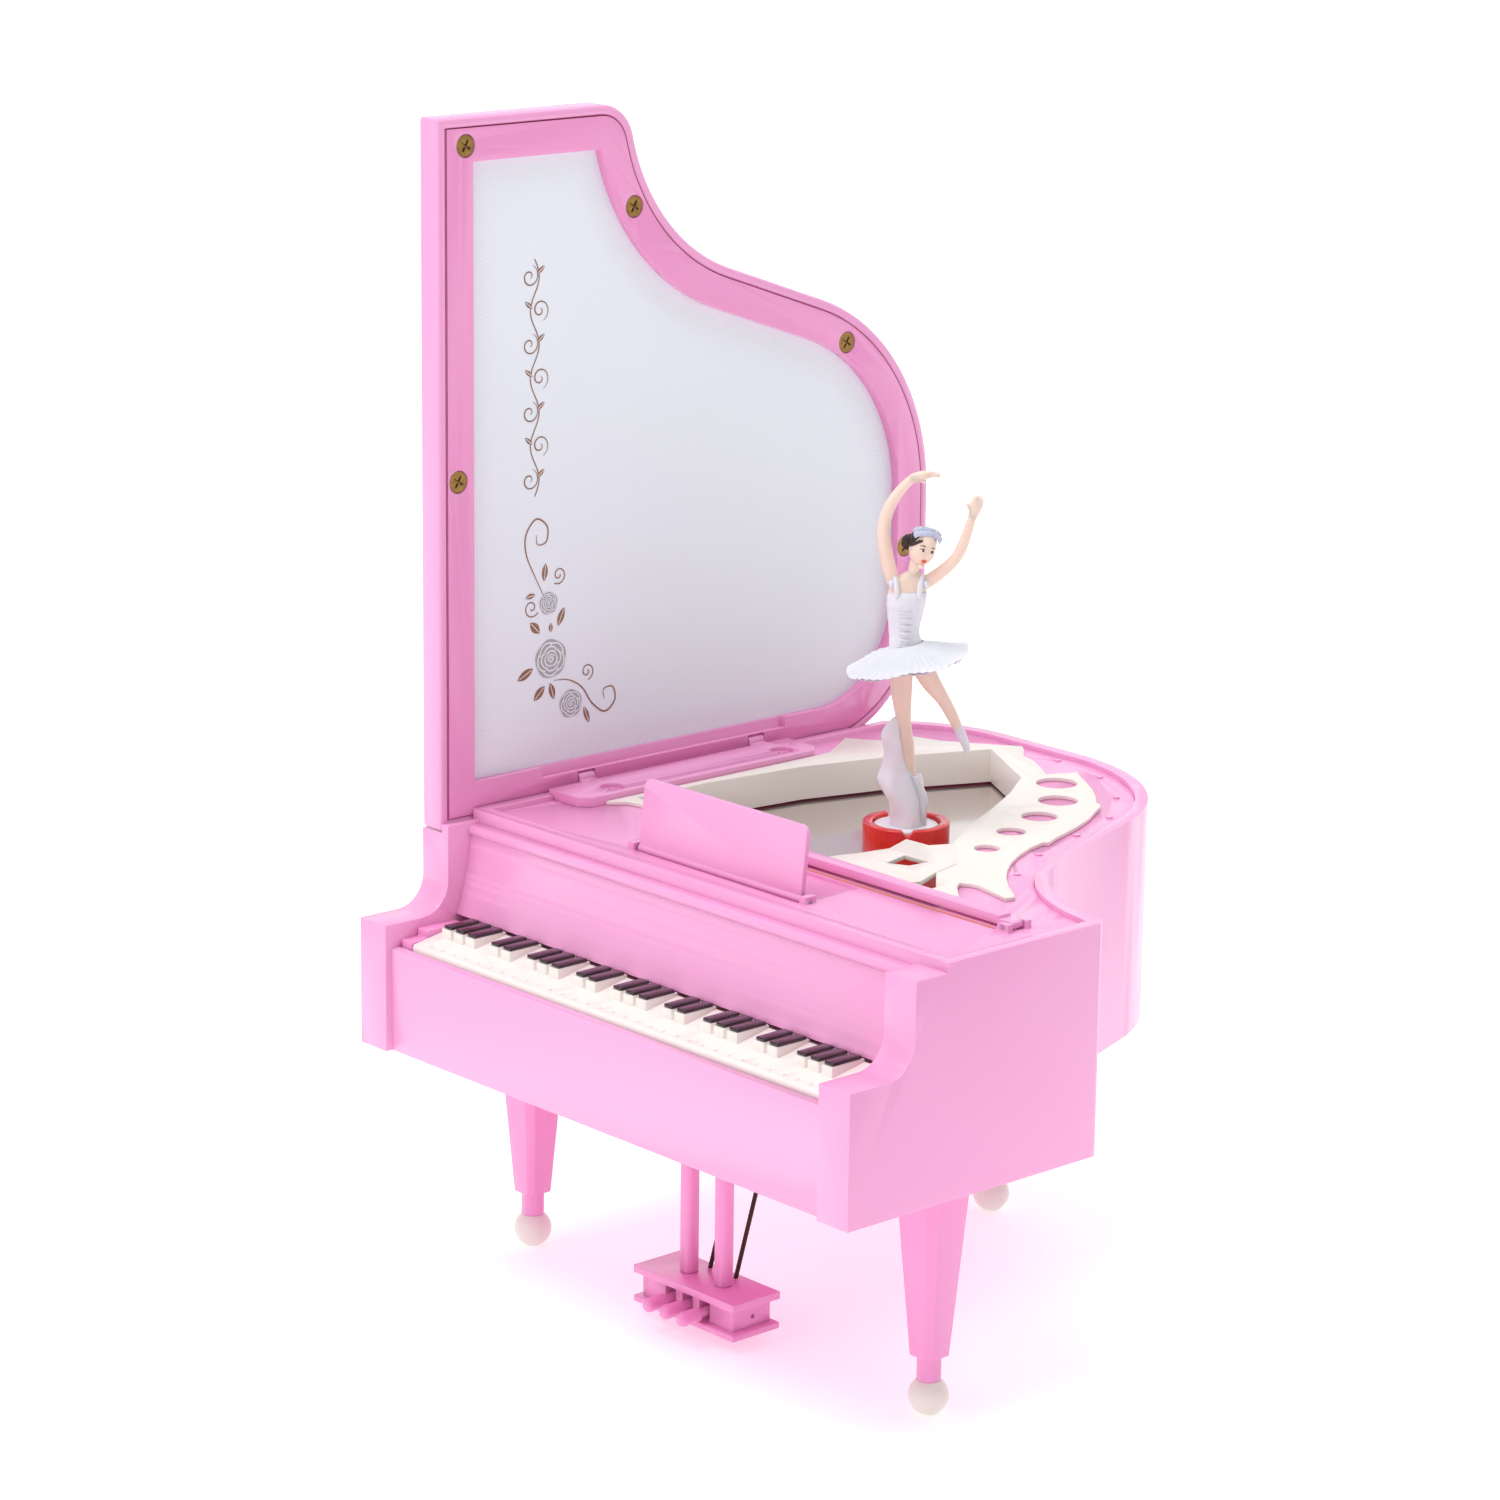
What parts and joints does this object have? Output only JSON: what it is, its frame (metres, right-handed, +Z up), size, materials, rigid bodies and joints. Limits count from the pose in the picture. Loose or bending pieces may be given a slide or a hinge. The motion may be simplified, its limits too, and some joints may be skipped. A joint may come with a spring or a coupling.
{
  "type": "music box",
  "caption": "Pink toy grand piano music box with an open mirror lid, a keyboard, three turned-foot legs, a pedal lyre and a turning ballerina in the well.",
  "frame": {"origin": "centre of the overall footprint, on the surface the feet stand on", "axes": "+X to the treble side, +Y to the tail, +Z up"},
  "size_m": [0.14, 0.1474, 0.2277],
  "materials": {
    "pink_shell": "gloss",
    "pink_trim": "gloss",
    "cream": "satin",
    "red_plastic": "gloss",
    "black_plastic": "gloss",
    "mirror": "polished",
    "brass": "satin",
    "steel": "satin",
    "screw": "satin",
    "rod": "satin",
    "magnet": "satin",
    "skin": "satin",
    "dress": "matte"
  },
  "bodies": {
    "case": {"case_shell": "pink_shell", "bottom_cover": "pink_shell", "cover_screws": "screw", "deck_plate": "pink_shell", "fallboard": "pink_shell", "keyboard": "cream", "black_keys": "black_plastic", "key_blocks": "pink_trim", "harp_frame": "cream", "stage_tray": "red_plastic", "stage_mirror": "mirror", "hinge_strip": "pink_shell", "hinge_screws": "pink_trim", "leg_front_left": "pink_trim", "leg_front_right": "pink_trim", "leg_rear": "pink_trim", "foot_front_left": "cream", "foot_front_right": "cream", "foot_rear": "cream", "leg_screws": "screw", "lyre_posts": "pink_trim", "lyre_block": "pink_trim", "lyre_base": "pink_trim", "pedal_pin": "steel", "brace_rods": "rod", "bedplate": "brass", "bedplate_screws": "steel", "comb": "steel", "comb_screws": "steel", "cylinder_bearings": "steel", "train_bridge": "brass", "barrel_bridge": "brass", "bridge_screws": "steel", "desk_pins": "steel", "prop_pin": "steel"},
    "lid": {"lid_shell": "pink_shell", "lid_frame": "pink_trim", "lid_mirror": "mirror", "lid_screws": "screw", "hinge_pins": "steel"},
    "desk": {"music_desk": "pink_shell"},
    "prop": {"lid_prop": "pink_shell"},
    "left_pedal": {"pedal_left": "pink_trim"},
    "middle_pedal": {"pedal_middle": "pink_trim"},
    "right_pedal": {"pedal_right": "pink_trim"},
    "barrel": {"spring_barrel": "brass", "mainspring": "steel", "drive_spindle": "steel", "drive_magnet": "magnet"},
    "second": {"second_wheel": "brass"},
    "fly": {"governor_fly": "steel"},
    "drum": {"cylinder": "brass"},
    "winder": {"winding_arbor": "steel", "winding_key": "brass"},
    "cup": {"magnet_cup": "red_plastic"},
    "dancer": {"dancer_base": "dress", "dancer_figure": "skin", "dancer_tutu": "dress", "dancer_headdress": "dress"}
  },
  "joints": [
    {"name": "lid_hinge", "type": "hinge", "parent": "case", "child": "lid", "pos_m": [-0.0653, 0.00235, 0.0929], "axis": [0, -1, 0], "range_deg": [-34, 0]},
    {"name": "desk_fold", "type": "hinge", "parent": "case", "child": "desk", "pos_m": [0, -0.04185, 0.091], "axis": [1, 0, 0], "range_deg": [-84, 0]},
    {"name": "prop_hinge", "type": "hinge", "parent": "case", "child": "prop", "pos_m": [0.0606, -0.02435, 0.0916], "axis": [0, 1, 0], "range_deg": [0, 60]},
    {"name": "barrel_spin", "type": "hinge", "parent": "case", "child": "barrel", "pos_m": [-0.0037, 0.01035, 0.0647], "axis": [0, 0, 1], "continuous": true},
    {"name": "second_spin", "type": "hinge", "parent": "case", "child": "second", "pos_m": [-0.0187, 0.01035, 0.0647], "axis": [0, 0, 1], "continuous": true},
    {"name": "fly_spin", "type": "hinge", "parent": "case", "child": "fly", "pos_m": [-0.0287, 0.01035, 0.0647], "axis": [0, 0, 1], "continuous": true},
    {"name": "drum_spin", "type": "hinge", "parent": "case", "child": "drum", "pos_m": [0.0163, 0.01035, 0.0712], "axis": [1, 0, 0], "continuous": true},
    {"name": "cup_spin", "type": "hinge", "parent": "case", "child": "cup", "pos_m": [-0.0037, 0.01035, 0.0867], "axis": [0, 0, 1], "continuous": true},
    {"name": "key_turn", "type": "hinge", "parent": "case", "child": "winder", "pos_m": [-0.0037, 0.01035, 0.0467], "axis": [0, 0, 1], "continuous": true},
    {"name": "dancer_lift", "type": "slide", "parent": "cup", "child": "dancer", "axis": [0, 0, 1], "range_m": [0, 0.022]},
    {"name": "left_pedal_press", "type": "hinge", "parent": "case", "child": "left_pedal", "pos_m": [-0.0049, -0.04385, 0.0063], "axis": [-1, 0, 0], "range_deg": [-5, 0]},
    {"name": "middle_pedal_press", "type": "hinge", "parent": "case", "child": "middle_pedal", "pos_m": [0, -0.04385, 0.0063], "axis": [-1, 0, 0], "range_deg": [-5, 0]},
    {"name": "right_pedal_press", "type": "hinge", "parent": "case", "child": "right_pedal", "pos_m": [0.0049, -0.04385, 0.0063], "axis": [-1, 0, 0], "range_deg": [-5, 0]}
  ],
  "couplings": [
    {"joint": "second_spin", "follows": "barrel_spin", "ratio": -4},
    {"joint": "fly_spin", "follows": "barrel_spin", "ratio": 16},
    {"joint": "drum_spin", "follows": "barrel_spin", "ratio": 2.375},
    {"joint": "cup_spin", "follows": "barrel_spin", "ratio": 1}
  ]
}
